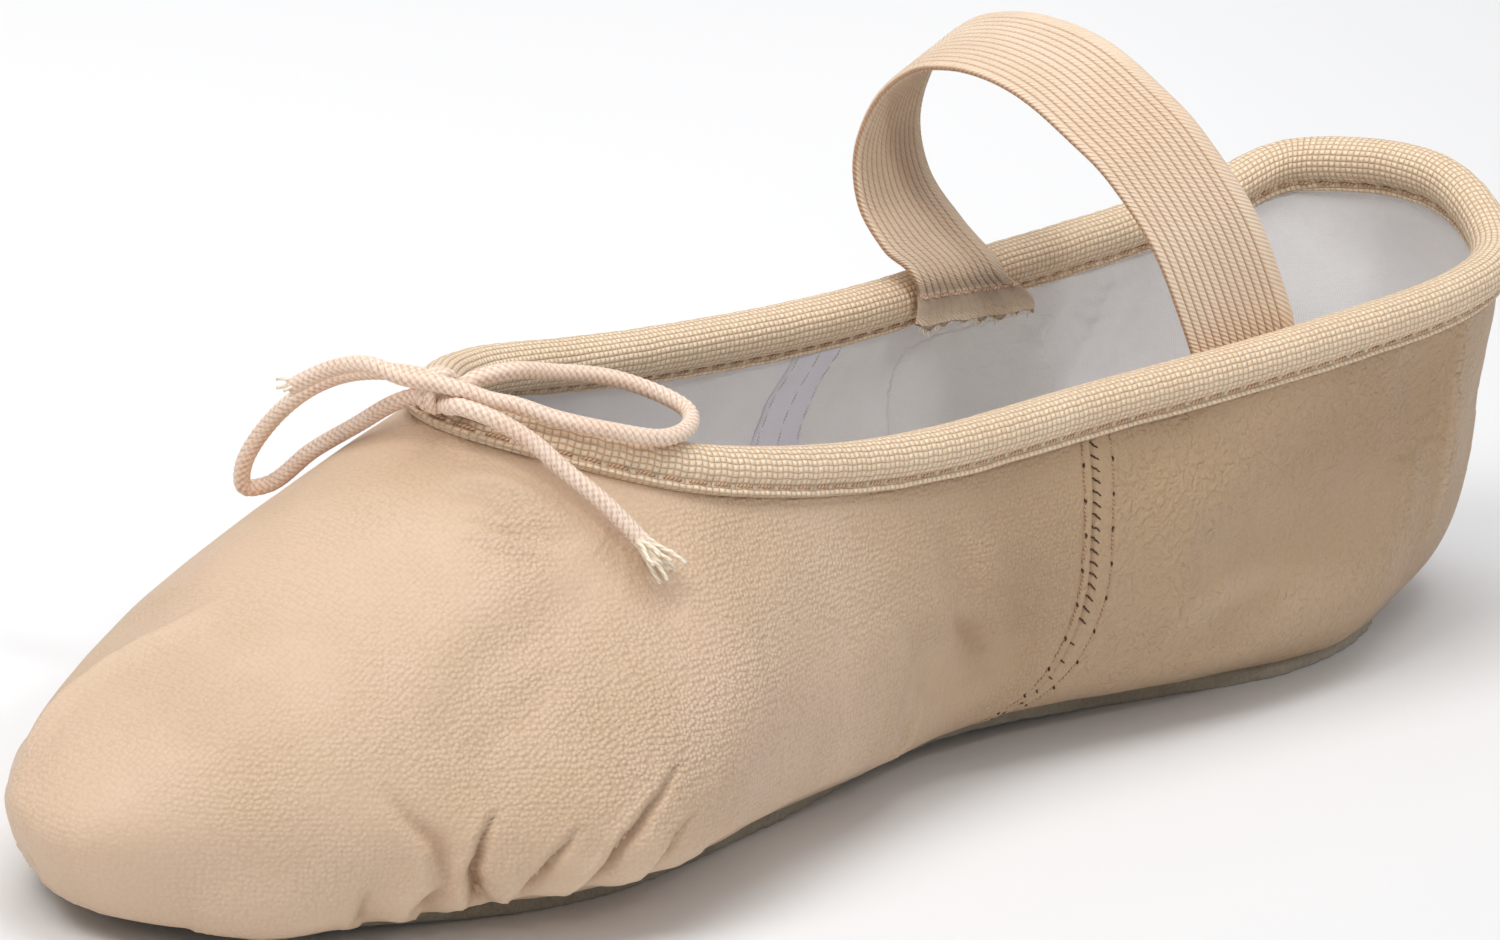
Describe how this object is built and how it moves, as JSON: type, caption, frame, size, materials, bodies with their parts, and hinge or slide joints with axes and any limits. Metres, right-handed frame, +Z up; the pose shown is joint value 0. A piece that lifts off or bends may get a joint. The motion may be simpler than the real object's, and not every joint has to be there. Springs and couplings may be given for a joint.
{
  "type": "ballet slipper",
  "caption": "Full-sole leather ballet slipper with a bound drawstring collar, a small bow at the throat and an elastic strap over the instep.",
  "frame": {"origin": "centre of the slipper's box in plan, on the floor", "axes": "+X from toe to heel, +Z up, -Y towards the foot's inner side (a right shoe)"},
  "size_m": [0.235, 0.0763, 0.0745],
  "materials": {
    "leather": "satin",
    "suede": "matte",
    "insole_cotton": "matte",
    "binding_tape": "matte",
    "strap_elastic": "matte",
    "drawstring_cotton": "matte"
  },
  "bodies": {
    "root": {"upper": "leather", "outsole": "suede", "insole": "insole_cotton", "collar_binding": "binding_tape", "instep_strap": "strap_elastic", "drawstring_knot": "drawstring_cotton", "drawstring_left_loop": "drawstring_cotton", "drawstring_right_loop": "drawstring_cotton", "drawstring_left_end": "drawstring_cotton", "drawstring_right_end": "drawstring_cotton"}
  },
  "joints": []
}
